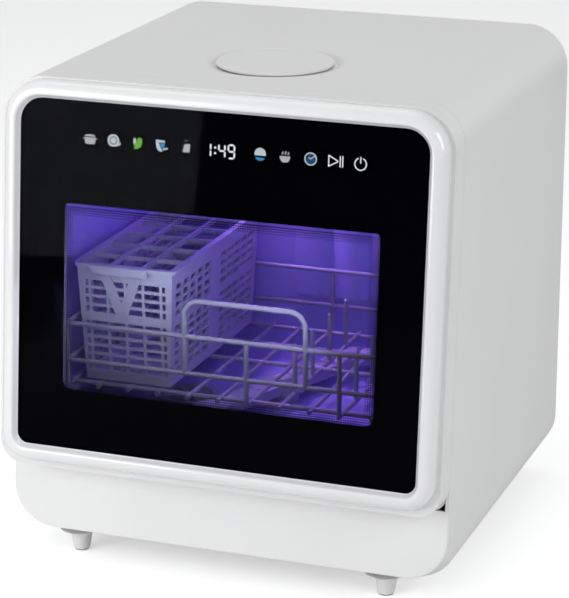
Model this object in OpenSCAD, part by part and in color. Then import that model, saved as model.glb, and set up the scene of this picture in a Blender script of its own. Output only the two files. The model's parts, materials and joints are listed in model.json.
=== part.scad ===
// Countertop dishwasher: a rounded white cabinet whose front leans back, a drop-down glass door,
// a sliding wire rack that carries a cutlery basket, a spray arm, and the works under and behind the tub.
// Millimetres, +Z up. The front faces -Y, and the origin is under the middle of the whole machine.

/* [Cabinet] */
// Width of the cabinet
body_w = 420; // [400:1:450]
// Height of the cabinet above its feet
body_h = 438; // [425:1:470]
// Depth of the cabinet from the foot of the door seam to its rear edge
body_d = 390; // [380:1:430]
// Radius of the cabinet's long edges
corner_r = 40; // [32:1:46]
// Thickness of the cabinet wall
wall = 3; // [2:0.5:3.5]
// Angle at which the front leans back, in degrees
lean = 5.4; // [4:0.1:6.5]
// Height of the feet
foot_h = 22; // [16:1:30]
// Rise of the underside at the front edge
toe_rise = 14; // [8:1:20]
// Depth over which the underside rises
toe_run = 40; // [35:1:45]
// Height of the hollow under the tub
base_h = 105; // [103:1:112]
// Space between the tub and the cabinet's outside at each side
side_gap = 25; // [22:1:30]
// Space between the tub and the cabinet's outside at the top
top_gap = 30; // [29:0.5:34]
// Depth of the bay behind the tub
rear_bay = 82; // [81:1:90]
// Half the distance between the left and right feet
foot_x = 151; // [130:1:160]
// How far the feet stand left of the middle
foot_shift = 8; // [0:1:10]
// Distance of the front feet behind the door seam
foot_front = 42; // [40:1:60]

/* [Door] */
// Distance of the door's lower edge from the cabinet's bottom, along the lean
door_low = 80; // [78:1:84]
// Thickness of the outer band that is flush with the cabinet
band_t = 27; // [25:1:32]
// How far the bezel stands out of the band
bezel_t = 14; // [12:1:16]
// Width of the bezel around the glass
bezel_w = 16.2; // [15:0.1:18]
// Inset of the bezel from the band at the sides
bezel_inset = 4.3; // [3.5:0.1:6]
// Inset of the bezel from the band's lower edge
bezel_up = 6.1; // [4:0.1:7]
// Inset of the bezel from the band's upper edge
bezel_down = 1.7; // [1:0.1:4]
// Radius of the bezel's outer edge
bezel_round = 11; // [8:0.5:12]
// Radius of the upper corners of the glass
glass_r_top = 22; // [16:1:28]
// Radius of the lower corners of the glass
glass_r_low = 10; // [6:1:16]
// Thickness of the outer glass
glass_t = 4; // [3:0.5:4.5]
// Depth of the glass under the bezel's face
glass_sunk = 6; // [4:0.5:7]
// Width of the clear window
window_w = 294; // [270:2:300]
// Height of the clear window
window_h = 170; // [150:2:176]
// Height of the window's lower edge above the glass edge
window_up = 54; // [50:1:60]
// Width of one touch symbol
symbol_w = 15; // [10:1:18]
// Spacing of the touch symbols
symbol_pitch = 22.7; // [20:0.1:24]

/* [Rack and basket] */
// Diameter of the rack's wires
wire_d = 4.4; // [3.5:0.1:5]
// Height of the rack's upper rim above its floor
rack_h = 60; // [50:1:70]
// Height of the raised front hoop above the rack's floor
hoop_h = 94.5; // [85:0.5:105]
// Depth of the rack
rack_d = 240; // [220:1:246]
// Width of the basket at its rim
basket_w = 95; // [85:1:98]
// Length of the basket
basket_l = 222; // [180:1:222]
// Height of the basket
basket_h = 114; // [100:1:125]
// Thickness of the basket's walls
basket_t = 2.4; // [2:0.1:3]
// Spacing of the upright bars of the basket
basket_pitch = 17.7; // [16:0.1:19]
// Spacing of the level bars of the basket
basket_row = 8.5; // [7.5:0.1:9]
// Width of the basket's thin bars
basket_bar = 2.6; // [2:0.1:4]
// Travel of the rack when the door is fully open
rack_travel = 150; // [100:1:157]

/* [Water and air] */
// Radius of the fill lid
lid_r = 53.5; // [50:0.5:66]
// Distance of the fill lid's centre behind the door seam
lid_back = 140; // [125:1:150]
// Radius of the spray arm's sweep
arm_r = 128; // [100:1:130]
// Radius of the filter's flange
filter_r = 30; // [26:1:32]
// Outside radius of the drain outlet
drain_r = 9.5; // [8:0.1:11]
// Outside radius of the inlet's threaded end
inlet_r = 13.2; // [11:0.1:14]
// How far the outlets stand out of the rear edge
spigot_out = 20; // [15:1:30]
// Radius of the drying fan's rotor
fan_r = 27; // [22:1:28]

/* [Fits] */
// Clearance between pieces that lie side by side
gap = 0.3; // [0.2:0.05:0.5]
// Radial clearance of shafts and pins in their bores
run_gap = 0.05; // [0.03:0.01:0.1]
// Clearance round the fill lid
lid_gap = 0.6; // [0.4:0.1:1]
// Radius of the hinge pins
pin_r = 2.5; // [2:0.1:3.5]
// Radius of the pump and fan shafts
shaft_r = 2; // [1.5:0.1:2.5]

/* [Hidden] */
$fn = 64;
e = 0.01;

// where the main faces are
rear_part = spigot_out + body_d;
sin_l = sin(lean);
cos_l = cos(lean);
bezel_h = band_t + bezel_t;
front_reach = (bezel_h - bezel_round) * cos_l - (door_low + bezel_up + bezel_round) * sin_l
    + bezel_round;
seam_y = front_reach - (front_reach + rear_part) / 2;
rear_y = seam_y + body_d;
top_z = foot_h + body_h;
half_w = body_w / 2;
in_r = corner_r - wall;
toe_top = foot_h + toe_rise + corner_r;
tray_z0 = foot_h + wall + gap;
tray_t = 4;
screw_x = [-half_w + 34, half_w - 34];
screw_z = [foot_h + wall + 5, top_z - wall - 5];

// feet: radii at the floor, at the waist and at the flared top
foot_r = 7.6;
foot_waist = 9;
foot_top = 20;
flare_h = 13;
pad_h = 1.6;
foot_ys = [seam_y + foot_front, rear_y - 42];
foot_xs = [-foot_x - foot_shift, foot_x - foot_shift];

// front panel under the door, set back so that the door's lower edge can turn past it
plinth_t = 3;
plinth_h = -band_t * sin_l - gap - 0.05;
plinth_top = door_low - 1;

// a point of the leaning front: s along the lean from the bottom edge, h outward from the seam
function lean_y(s, h) = seam_y - h * cos_l + s * sin_l;
function lean_z(s, h) = foot_h + h * sin_l + s * cos_l;

// tub
tub_t = 2.5;
tub_x = half_w - side_gap;
tub_in = tub_x - tub_t;
tub_low = foot_h + base_h;
tub_floor = tub_low + tub_t;
tub_high = top_z - top_gap;
tub_ceil = tub_high - tub_t;
tub_back = rear_y - rear_bay;
tub_back_in = tub_back - tub_t;
tub_r = 14;
flute_r = 50;
flute_out = 6;
flute_pitch = 40;
flute_z0 = tub_floor + 60;

// front frame and opening
frame_t = 3;
frame_h0 = -1;
open_x = tub_in - 5;
open_low = (tub_floor - foot_h) / cos_l - 1;
open_high = (tub_ceil - foot_h) / cos_l - 5;
open_r = 16;
seal_w = 7;

// door, in its leaning frame
door_high = (body_h - band_t * sin_l) / cos_l;
hinge_y = lean_y(door_low, 0);
hinge_z = lean_z(door_low, 0);
bez_x = half_w - bezel_inset;
bez_low = door_low + bezel_up;
bez_high = door_high - bezel_down;
glass_x = bez_x - bezel_w;
glass_low = bez_low + bezel_w;
glass_high = bez_high - bezel_w;
glass_h1 = bezel_h - glass_sunk;
glass_h0 = glass_h1 - glass_t;
mask_t = 0.6;
win_x = window_w / 2;
win_low = glass_low + window_up;
win_high = win_low + window_h;
band_wall = 3.4;
hole_x = win_x + 15;
hole_low = win_low - 16;
hole_high = win_high + 8;
liner_t = 3;
liner_h0 = 1.5;
pane_t = 3;
boss_w = 9;
boss_in = 6;
symbol_s = glass_high - 34;
keys_x = 6 * symbol_pitch + symbol_w / 2;
keys_h = 24;
clock_x0 = -18;
clock_w = 38;
clock_h = 19;

// hinge
ear_t = 4;
ear_r = pin_r + 1.8;
ear_x = half_w - 34;
ear_mid = ear_x + ear_t + 0.5;
ear_span = 2 * ear_t + 5;
arm_x = ear_x + ear_t + 1;
pin_len = 2 * ear_t + 1;

// rack
rack_r = wire_d / 2;
rack_z = tub_floor + 30.5;
rack_x = tub_in - 10;
rack_y0 = seam_y + 50;
rack_y1 = rack_y0 + rack_d;
rim_z = rack_z + rack_h;
mid_z = rack_z + 24.5;
hoop_z = rack_z + hoop_h;
bar_pitch = 29.7;
cross_in = 12;
post_x = 5;
hoop_x0 = -55;
hoop_x1 = 62;
hoop_r = 15;
rail_w = 16;
rail_t = 6;
tine_h = 46;

// basket
basket_x0 = -rack_x + 6.5;
basket_x1 = basket_x0 + basket_w;
basket_y0 = rack_y0 + 11;
basket_y1 = basket_y0 + basket_l;
basket_z0 = rack_z + rack_r + gap;
basket_z1 = basket_z0 + basket_h;
basket_in = 5.5;
basket_tilt = atan(basket_in / basket_h);
basket_foot = 9.5;
basket_band = 8.6;
basket_post = 26;
basket_rim = 3;
seam_gap = 0.06;
grip_up = 64;
grip_l = 44;
grip_x = -4;
end_w0 = basket_w / 2 - basket_in;
long_w0 = basket_l / 2 - basket_in - basket_t - seam_gap;
long_low = basket_h - 4;
long_w1 = long_w0 + basket_in * long_low / basket_h;
long_w2 = basket_l / 2 - basket_rim - seam_gap;
lattice_in = basket_rim + seam_gap;
lattice_x = basket_w / 6;
basket_mid = (basket_x0 + basket_x1) / 2;
lattice_t = 1.3 + seam_gap;
lattice_at = [basket_x0 + lattice_in, basket_mid - lattice_x - lattice_t, basket_mid - lattice_x + lattice_t,
    basket_mid + lattice_x - lattice_t, basket_mid + lattice_x + lattice_t, basket_x1 - lattice_in];

// latch: the tongue on the door and the lever behind the frame
latch_s = open_high + seal_w + 10;
latch_w = 6;
latch_pin = 1.4;
tongue_h0 = -16;
lever_x = 7.5;
lever_h = -18.5;

// detergent cup in the door
cup_w = 62;
cup_x0 = 44;
cup_s0 = hole_high + boss_w + 6;
cup_s1 = cup_s0 + 34;
cup_deep = 14;

// spray arm, filter and sump
hub_x = 0;
hub_y = seam_y + 160;
hub_r = 15;
arm_z0 = tub_floor + 10.5;
arm_t = 9;
arm_turn = 248;
float_x = 140;
float_y = tub_back_in - 56;
heat_z0 = tub_low - 27;
heat_z1 = tub_low - 6;
filter_x = -88;
filter_y = seam_y + 138;
sump_r = 38;
sump_deep = 66;
sump_floor = tub_low - sump_deep;
drain_tap_x = filter_x - sump_r + 4;

// pumps
pump_x = 22;
pump_z = foot_h + 46;
volute_r = 30;
volute_t = 26;
suction_r = 8.5;
motor_r = 26;
motor_l = 62;
drain_x = -150;
drain_y = seam_y + 186;
drain_z = foot_h + 34;
dvol_r = 21;
dvol_t = 20;
dmotor_r = 18;
dmotor_l = 44;
hose_z = foot_h + 70;

// fill lid and funnel
lid_y = seam_y + lid_back;
boss_t = 8;
lid_z0 = top_z - boss_t + gap;
dish_r = lid_r + 10;
dish_deep = 3;
lid_neck = lid_r - 5;
lid_lip = top_z - 1.6;
pan_r = lid_r - 8;
plug_h = 5;
pan_z0 = tub_high + 1;
duct_w = 56;
duct_z1 = top_z - boss_t - 3;

// tank
tank_y0 = tub_back + 0.5;
tank_y1 = rear_y - 16;
tank_x0 = -half_w + 20;
tank_x1 = 70;
tank_z0 = foot_h + 128;
tank_z1 = tub_high - 7;
neck_y = (tank_y0 + tank_y1) / 2;
neck_r = 14;
tank_t = 2.5;

// fan and board
fan_x = 132;
fan_z = foot_h + 300;
fan_box = 2 * fan_r + 8;
fan_t = 20;
fan_y0 = tub_back + 13;
board_x0 = 86;
board_x1 = 182;
board_z0 = foot_h + 120;
board_z1 = foot_h + 222;

// outer lines of the rear
cover_t = 3;
cover_y = rear_y - 6;
spigot_y = rear_y + spigot_out;
inlet_x = -52;
gland_x = 150;

// ---------- helpers ----------

module along_y(y0, y1) translate([0, y1, 0]) rotate([90, 0, 0]) linear_extrude(y1 - y0) children();

module along_z(z0, z1) translate([0, 0, z0]) linear_extrude(z1 - z0) children();

// a box given by its two corners
module block(a, b) translate(a) cube(b - a);

// a cylinder along Y
module rod_y(x, z, y0, y1, r) translate([x, y1, z]) rotate([90, 0, 0]) cylinder(h = y1 - y0, r = r);

// a cylinder along X
module rod_x(y, z, x0, x1, r) translate([x0, y, z]) rotate([0, 90, 0]) cylinder(h = x1 - x0, r = r);

// a cylinder along Z
module rod_z(x, y, z0, z1, r) translate([x, y, z0]) cylinder(h = z1 - z0, r = r);

// the flat drawing of the leaning front: x across, y along the lean, z outward
module on_front() translate([0, seam_y, foot_h]) rotate([90 - lean, 0, 0]) children();

// a rounded rectangle from its sides and its lower and upper corner radii
module round_rect(x0, x1, y0, y1, low_r, high_r) {
    translate([x0, y0 + low_r]) square([x1 - x0, y1 - y0 - low_r - high_r]);
    translate([x0 + low_r, y0]) square([x1 - x0 - 2 * low_r, low_r + e]);
    translate([x0 + high_r, y1 - high_r - e]) square([x1 - x0 - 2 * high_r, high_r + e]);
    for (x = [x0 + low_r, x1 - low_r]) translate([x, y0 + low_r]) circle(r = low_r);
    for (x = [x0 + high_r, x1 - high_r]) translate([x, y1 - high_r]) circle(r = high_r);
}

// a flat ring between two rounded rectangles, from height z0 to z1
module ring_plate(z0, z1, x, low, high, low_r, high_r, w) along_z(z0, z1) difference() {
    round_rect(-x, x, low, high, low_r, high_r);
    round_rect(-x + w, x - w, low + w, high - w, max(low_r - w, 1), max(high_r - w, 1));
}

// the cabinet's outline across, set in by a margin and lifted at the bottom
module outline(inset, lift) round_rect(-half_w + inset, half_w - inset, foot_h + lift + inset,
    top_z - inset, corner_r - inset, corner_r - inset);

// everything behind the leaning seam plane
module behind_seam(h) on_front() translate([-body_w, -body_h, h - 3 * body_d])
    cube([2 * body_w, 3 * body_h, 3 * body_d]);

// ---------- cabinet ----------

module toe_slice(inset, lift, y) along_y(y, y + e) intersection() {
    outline(inset, lift, $fn = 48);
    translate([-body_w, 0]) square([2 * body_w, toe_top]);
}

module cabinet_solid(inset, y1) {
    along_y(seam_y + toe_run, y1) outline(inset, 0);
    along_y(seam_y - toe_run, seam_y + toe_run + e) intersection() {
        outline(inset, 0);
        translate([-body_w, toe_top - e]) square([2 * body_w, body_h]);
    }
    hull() {
        toe_slice(inset, toe_rise, seam_y);
        toe_slice(inset, 0, seam_y + toe_run);
    }
}

// the part of a layer of the leaning front that lies under the door
module below_door(h0, h1, up) on_front() along_z(h0, h1)
    translate([-body_w, -body_h]) square([2 * body_w, body_h + plinth_top + up]);

module outer_casing() color("white") difference() {
    union() {
        difference() {
            intersection() {
                cabinet_solid(0, rear_y);
                behind_seam(-gap);
            }
            cabinet_solid(wall, rear_y + wall);
        }
        // boss that holds the dished ring of the fill opening
        rod_z(0, lid_y, top_z - boss_t, top_z - wall + e, dish_r + 4);
        // flange that the rear cover is screwed to
        along_y(cover_y - 3, cover_y) difference() {
            outline(wall - e, 0);
            outline(wall + 10, 0);
        }
    }
    rod_z(0, lid_y, top_z - boss_t - 1, top_z + 1, lid_neck + lid_gap);
    translate([0, lid_y, top_z - dish_deep]) cylinder(h = dish_deep + e, r1 = lid_r + 3, r2 = dish_r);
    // room for the front panel under the door
    below_door(plinth_h - plinth_t - gap, body_d, gap);
    for (x = screw_x, z = screw_z) rod_y(x, z, cover_y - 4, cover_y + 1, 1.6);
}

module slots(x0, x1, z0, z1, pitch, slot) for (z = [z0:pitch:z1])
    translate([x0, cover_y - 1, z]) cube([x1 - x0, cover_t + 2, slot]);

module rear_cover() color("white") difference() {
    along_y(cover_y, cover_y + cover_t) outline(wall + gap, 0);
    slots(fan_x - 34, fan_x + 34, fan_z - 34, fan_z + 34, 8, 4);
    slots(-150, -60, foot_h + 340, foot_h + 380, 8, 4);
    rod_y(drain_x, hose_z, cover_y - 1, cover_y + cover_t + 1, drain_r - 2 + gap);
    rod_y(inlet_x, hose_z, cover_y - 1, cover_y + cover_t + 1, inlet_r - 2 + gap);
    rod_y(gland_x, hose_z, cover_y - 1, cover_y + cover_t + 1, 8 + gap);
    for (x = screw_x, z = screw_z) rod_y(x, z, cover_y - 1, cover_y + cover_t + 1, 2);
}

module cover_screws() color("silver") for (x = screw_x, z = screw_z) {
    rod_y(x, z, cover_y - 2, cover_y + cover_t, 1.5);
    difference() {
        rod_y(x, z, cover_y + cover_t, cover_y + cover_t + 2, 3.4);
        block([x - 2.4, cover_y + cover_t + 1, z - 0.5], [x + 2.4, cover_y + cover_t + 3, z + 0.5]);
        block([x - 0.5, cover_y + cover_t + 1, z - 2.4], [x + 0.5, cover_y + cover_t + 3, z + 2.4]);
    }
}

// a cradle under a lying motor
module cradle(x, z, r, y0, y1, w) difference() {
    block([x - w / 2, y0, tray_z0 + tray_t - e], [x + w / 2, y1, z - r * 0.55]);
    rod_y(x, z, y0 - 1, y1 + 1, r + gap);
}

module base_tray() color("lightgray") {
    intersection() {
        along_y(seam_y + toe_run + 4, cover_y - 4) outline(wall + gap, 0);
        block([-body_w, seam_y, 0], [body_w, rear_y, tray_z0 + tray_t]);
    }
    for (y = [hub_y + volute_t / 2 + 8, hub_y + volute_t / 2 + motor_l - 18])
        cradle(pump_x, pump_z, motor_r, y, y + 10, 40);
    for (y = [drain_y + dvol_t + 5, drain_y + dvol_t + dmotor_l - 13])
        cradle(drain_x, drain_z, dmotor_r, y, y + 8, 28);
    // posts under the tub, at the sides
    for (x = [-tub_x + 8, tub_x - 8], y = [seam_y + 120, seam_y + 280])
        rod_z(x, y, tray_z0 + tray_t - e, tub_low - gap, 6);
}

module plinth_panel() color("white") difference() {
    union() {
        intersection() {
            cabinet_solid(0, rear_y);
            below_door(plinth_h - plinth_t, plinth_h - 0.8, 0);
        }
        // the face is a little smaller, which breaks its edge
        intersection() {
            cabinet_solid(0.8, rear_y);
            below_door(plinth_h - 1, plinth_h, 0);
        }
    }
    // hollows round the hinge ears
    on_front() for (m = [-1, 1])
        rod_x(door_low, 0, m * ear_mid - ear_span / 2, m * ear_mid + ear_span / 2, ear_r + 0.8);
}

module feet() color("white") for (x = foot_xs, y = foot_ys) translate([x, y, 0]) rotate_extrude()
    polygon(concat([[0, pad_h], [foot_r, pad_h]],
        [for (a = [0:10:80]) [foot_top - (foot_top - foot_waist) * cos(a), foot_h - flare_h * (1 - sin(a))]],
        [[foot_top, foot_h], [0, foot_h]]));

module foot_pads() color("dimgray") for (x = foot_xs, y = foot_ys) rod_z(x, y, 0, pad_h, foot_r - 0.8);

// ---------- front frame and tub ----------

module front_frame() color("whitesmoke") on_front() difference() {
    along_z(frame_h0 - frame_t, frame_h0) difference() {
        round_rect(-half_w + wall + gap, half_w - wall - gap, door_low - 0.5,
            (body_h - wall) / cos_l - gap, 12, in_r - gap);
        round_rect(-open_x, open_x, open_low, open_high, open_r, open_r);
    }
    // notches round the hinge ears
    for (m = [-1, 1]) along_z(-body_d, body_d)
        translate([m * ear_mid, door_low]) square([ear_span, 24], center = true);
    // slot of the latch
    along_z(-body_d, body_d) translate([-9, latch_s - 4.5]) square([18, 9]);
}

// the hollow of the tub
module tub_room() along_y(seam_y - 5, tub_back_in)
    round_rect(-tub_in, tub_in, tub_floor, tub_ceil, tub_r - tub_t, tub_r - tub_t);

module tub() color("lightgray") difference() {
    intersection() {
        along_y(seam_y - 5, tub_back) round_rect(-tub_x, tub_x, tub_low, tub_high, tub_r, tub_r);
        behind_seam(frame_h0 - frame_t);
    }
    tub_room();
    rod_z(filter_x, filter_y, tub_low - 1, tub_floor + 1, filter_r - 4);
    rod_z(filter_x, filter_y, tub_floor - 1, tub_floor + 1, filter_r + gap);
    rod_z(hub_x, hub_y, tub_low - 1, tub_floor + 1, 9);
    rod_y(fan_x, fan_z, tub_back_in - 20, tub_back + 1, 20);
}

// upright rounded ridges that line the rear wall, below the air outlet
module flute_panel() color("lightgray")
    for (x = [-flute_pitch / 2:flute_pitch:tub_in - flute_pitch / 2]) intersection() {
        rod_z(x, tub_back_in + flute_r - flute_out, flute_z0, fan_z - 26, flute_r);
        block([x - flute_pitch / 2 + seam_gap, tub_back_in - flute_r, 0],
            [x + flute_pitch / 2 - seam_gap, tub_back_in - seam_gap, top_z]);
    }

module door_seal() color("gray") on_front()
    ring_plate(frame_h0, 1.2, open_x + seal_w + 1, open_low - seal_w - 1, open_high + seal_w + 1,
        open_r + seal_w, open_r + seal_w, seal_w);

module lamp_strip() color("plum") {
    block([-120, tub_back_in - 60, tub_ceil - 7], [120, tub_back_in - 46, tub_ceil]);
    for (x = [-105:30:105]) rod_z(x, tub_back_in - 53, tub_ceil - 9, tub_ceil - 7, 3);
}

module rack_rails() color("lightgray") for (m = [-1, 1]) {
    x0 = m > 0 ? tub_in - rail_w : -tub_in;
    difference() {
        block([x0, rack_y0 - 6, rack_z - rack_r - gap - rail_t],
            [x0 + rail_w, rack_y1 + 2, rack_z - rack_r - gap]);
        // a run of slots lightens the rail
        for (y = [rack_y0 + 6:24:rack_y1 - 24])
            block([x0 + 4, y, rack_z - rack_r - gap - rail_t - 1], [x0 + rail_w - 4, y + 14, rack_z]);
    }
}

// ---------- lid, funnel, tank ----------

module fill_lid() color("white") translate([0, lid_y, 0]) {
    rotate_extrude() polygon([[0, lid_z0], [lid_neck - 1, lid_z0], [lid_neck, lid_z0 + 1],
        [lid_neck, lid_lip], [lid_r - 0.4, lid_lip], [lid_r, lid_lip + 0.4], [lid_r, top_z + 0.2],
        [lid_r - 0.6, top_z + 0.9], [lid_r - 2, top_z + 1.2], [0, top_z + 1.4]]);
    rod_z(0, 0, lid_z0 - plug_h, lid_z0 + e, pan_r - 4);
}

module lid_seal() color("gray") translate([0, lid_y, lid_z0 - plug_h + 1]) rotate_extrude()
    translate([pan_r - 4, 0]) square([2.2 - gap, plug_h - 2]);

module fill_funnel() color("lightgray") difference() {
    union() {
        rod_z(0, lid_y, pan_z0, top_z - boss_t, pan_r + 2);
        rod_z(0, lid_y, top_z - boss_t - 2.5, top_z - boss_t, lid_r + 8);
    }
    rod_z(0, lid_y, pan_z0 + 2, top_z, pan_r - 2 + gap);
    block([-duct_w / 2 + 3, lid_y, pan_z0 + 2], [duct_w / 2 - 3, lid_y + 2 * pan_r, duct_z1 - 2]);
}

module duct_body() difference() {
    block([-duct_w / 2, lid_y + pan_r - 10, pan_z0], [duct_w / 2, neck_y + 24, duct_z1]);
    rod_z(0, lid_y, 0, top_z, pan_r + 2.02);
    block([-duct_w / 2 + 2, lid_y, pan_z0 + 2], [duct_w / 2 - 2, neck_y + 22, duct_z1 - 2]);
    rod_z(0, neck_y, pan_z0 - 1, pan_z0 + 3, neck_r - 2);
}

// the spout under the duct that reaches into the tank
module fill_spout() difference() {
    rod_z(0, neck_y, tank_z1 - 5, pan_z0 - seam_gap, neck_r);
    rod_z(0, neck_y, tank_z1 - 6, pan_z0, neck_r - 2);
}

module fill_duct() color("lightgray") {
    duct_body();
    fill_spout();
}

module water_tank() color("aliceblue") difference() {
    union() {
        along_y(tank_y0, tank_y1) round_rect(tank_x0, tank_x1, tank_z0, tank_z1, 8, 16);
        rod_z(filter_x, neck_y, tank_z0 - 14, tank_z0 + e, 8);
        // ribs that stand on the rear cover
        for (x = [tank_x0 + 20, tank_x1 - 24])
            block([x, tank_y1 - e, tank_z0 + 30], [x + 4, cover_y - gap, tank_z1 - 60]);
    }
    along_y(tank_y0 + tank_t, tank_y1 - tank_t) round_rect(tank_x0 + tank_t, tank_x1 - tank_t,
        tank_z0 + tank_t, tank_z1 - tank_t, 6, 14);
    rod_z(0, neck_y, tank_z1 - 5, pan_z0 + 1, neck_r + gap);
    rod_z(filter_x, neck_y, tank_z0 - 15, tank_z0 + 5, 6);
}

// a hose that runs down, back to front, and into the sump
module tank_hose() color("gray") difference() {
    union() {
        rod_z(filter_x, neck_y, sump_floor + 30, tank_z0 - 14, 8);
        rod_y(filter_x, sump_floor + 30, filter_y + sump_r + 1 + run_gap, neck_y, 8);
        translate([filter_x, neck_y, sump_floor + 30]) sphere(r = 8);
    }
    rod_z(filter_x, neck_y, sump_floor + 30, tank_z0, 6);
    rod_y(filter_x, sump_floor + 30, filter_y, neck_y, 6);
}

// ---------- sump, filter, spray ----------

module sump() color("gray") difference() {
    union() {
        rod_z(filter_x, filter_y, sump_floor, tub_low - seam_gap, sump_r);
        rod_y(filter_x, sump_floor + 30, filter_y, filter_y + sump_r + 1, 9);
        rod_x(filter_y, pump_z, filter_x, filter_x + sump_r + 3, suction_r);
        rod_z(drain_tap_x, filter_y, drain_z - 9, drain_z + 9, 10);
    }
    rod_z(filter_x, filter_y, sump_floor + 2.5, tub_low, sump_r - 2.5);
    rod_y(filter_x, sump_floor + 30, filter_y, filter_y + sump_r + 2, 6);
    rod_x(filter_y, pump_z, filter_x, filter_x + sump_r + 4, suction_r - 2.5);
    rod_z(drain_tap_x, filter_y, drain_z - 6, sump_floor + 4, 6);
    rod_x(filter_y, drain_z, drain_tap_x - 12, drain_tap_x, 5);
}

module filter_body() difference() {
    union() {
        rod_z(filter_x, filter_y, tub_floor - 1 + gap, tub_floor + 2.2, filter_r);
        rod_z(filter_x, filter_y, tub_low - 44, tub_floor, filter_r - 4 - gap);
    }
    rod_z(filter_x, filter_y, tub_low - 42, tub_floor + 3, filter_r - 6.5);
    // tall slots in the cup's wall
    for (a = [0:36:324]) translate([filter_x, filter_y, tub_low - 38]) rotate([0, 0, a])
        translate([0, -2, 0]) cube([filter_r, 4, 28]);
}

module filter_cup() color("lightsteelblue") {
    filter_body();
    // crossed grip bars
    for (a = [45, 135]) translate([filter_x, filter_y, tub_floor - 1]) rotate([0, 0, a])
        translate([-filter_r + 5, -1.2, 0]) cube([2 * filter_r - 10, 2.4, 4]);
}

module spray_hub() color("gray") difference() {
    union() {
        rod_z(hub_x, hub_y, tub_floor, arm_z0 - gap, hub_r);
        rod_z(hub_x, hub_y, heat_z1, tub_floor + e, 9 - gap);
        rod_z(hub_x, hub_y, arm_z0 - gap - e, arm_z0 + arm_t + 2, 5);
        rod_z(hub_x, hub_y, arm_z0 + arm_t + gap, arm_z0 + arm_t + 3, 8);
    }
    rod_z(hub_x, hub_y, heat_z1 - 1, arm_z0 - 4, 6);
}

// half of the arm's flat outline, a paddle that widens towards its tip
module paddle() {
    polygon([[0, -14], [70, -11], [arm_r - 17, -16], [arm_r - 17, 16], [70, 11], [0, 14]]);
    translate([arm_r - 17, 0]) circle(r = 16);
}

module spray_arm() color("silver") difference() {
    union() {
        translate([hub_x, hub_y, arm_z0]) rotate([0, 0, arm_turn]) linear_extrude(arm_t) {
            circle(r = 22);
            paddle();
            rotate(180) paddle();
        }
    }
    rod_z(hub_x, hub_y, arm_z0 - 1, arm_z0 + arm_t + 1, 5 + run_gap);
    for (m = [0, 180], d = [38:18:110]) translate([hub_x, hub_y, arm_z0 + arm_t - 2])
        rotate([0, 0, arm_turn + m]) translate([d, 3, 0]) cylinder(h = 3, r = 1.6);
}

module float_guide() color("gray") difference() {
    rod_z(float_x, float_y, tub_floor, tub_floor + 4, 11);
    rod_z(float_x, float_y, tub_floor - 1, tub_floor + 5, 5 + gap);
}

module float_switch() color("white") {
    rod_z(float_x, float_y, tub_floor + 0.5, tub_floor + 12, 5);
    rod_z(float_x, float_y, tub_floor + 12, tub_floor + 15, 12);
}

// ---------- pumps, hoses, heater ----------

module suction_hose() color("dimgray") difference() {
    union() {
        rod_x(filter_y, pump_z, filter_x + sump_r + 3, pump_x, suction_r);
        translate([pump_x, filter_y, pump_z]) sphere(r = suction_r);
        rod_y(pump_x, pump_z, filter_y, hub_y - volute_t / 2, suction_r);
    }
    rod_x(filter_y, pump_z, filter_x + sump_r, pump_x, suction_r - 2.5);
    translate([pump_x, filter_y, pump_z]) sphere(r = suction_r - 2.5);
    rod_y(pump_x, pump_z, filter_y, hub_y, suction_r - 2.5);
}

module wash_pump() color("darkgray") difference() {
    union() {
        rod_y(pump_x, pump_z, hub_y - volute_t / 2, hub_y + volute_t / 2, volute_r);
        rod_z(hub_x, hub_y, pump_z, heat_z0, 9);
    }
    rod_y(pump_x, pump_z, hub_y - volute_t / 2 + 3, hub_y + volute_t / 2 - 3, volute_r - 3);
    rod_y(pump_x, pump_z, hub_y - volute_t, hub_y, suction_r - 2.5);
    rod_y(pump_x, pump_z, hub_y, hub_y + volute_t, shaft_r + run_gap);
    rod_z(hub_x, hub_y, pump_z, tub_low, 6);
}

module blades(x, z, y0, y1, r, n) for (k = [0:n - 1]) translate([x, y1, z]) rotate([90, 360 / n * k, 0])
    translate([1, -0.8, 0]) cube([r - 1, 1.6, y1 - y0]);

module wash_impeller() color("ivory") {
    rod_y(pump_x, pump_z, hub_y - 6, hub_y + volute_t / 2 + 30, shaft_r);
    rod_y(pump_x, pump_z, hub_y + 4, hub_y + 7, volute_r - 8);
    blades(pump_x, pump_z, hub_y - 6, hub_y + 4 + e, volute_r - 8, 6);
}

module wash_motor() color("dimgray") difference() {
    union() {
        rod_y(pump_x, pump_z, hub_y + volute_t / 2, hub_y + volute_t / 2 + motor_l, motor_r);
        rod_y(pump_x, pump_z, hub_y + volute_t / 2 + motor_l - e, hub_y + volute_t / 2 + motor_l + 4, 10);
    }
    rod_y(pump_x, pump_z, hub_y, hub_y + volute_t / 2 + 34, shaft_r + run_gap);
}

module drain_pump() color("darkgray") difference() {
    union() {
        rod_y(drain_x, drain_z, drain_y, drain_y + dvol_t, dvol_r);
        rod_y(drain_x, drain_z, drain_y + dvol_t - e, drain_y + dvol_t + dmotor_l, dmotor_r);
        rod_y(drain_x, drain_z, filter_y, drain_y + e, 8);
        translate([drain_x, filter_y, drain_z]) sphere(r = 8);
        rod_x(filter_y, drain_z, drain_x, drain_tap_x - 10, 8);
        rod_z(drain_x, drain_y + dvol_t / 2, drain_z, hose_z - 13, 7);
    }
    rod_y(drain_x, drain_z, drain_y + 2.5, drain_y + dvol_t - 2.5, dvol_r - 2.5);
    rod_y(drain_x, drain_z, filter_y - 3, drain_y + 5, 5);
    rod_x(filter_y, drain_z, drain_x - 3, drain_tap_x, 4.5);
    rod_y(drain_x, drain_z, drain_y, drain_y + dvol_t + 20, shaft_r + run_gap);
    rod_z(drain_x, drain_y + dvol_t / 2, drain_z, hose_z, 5);
}

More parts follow.
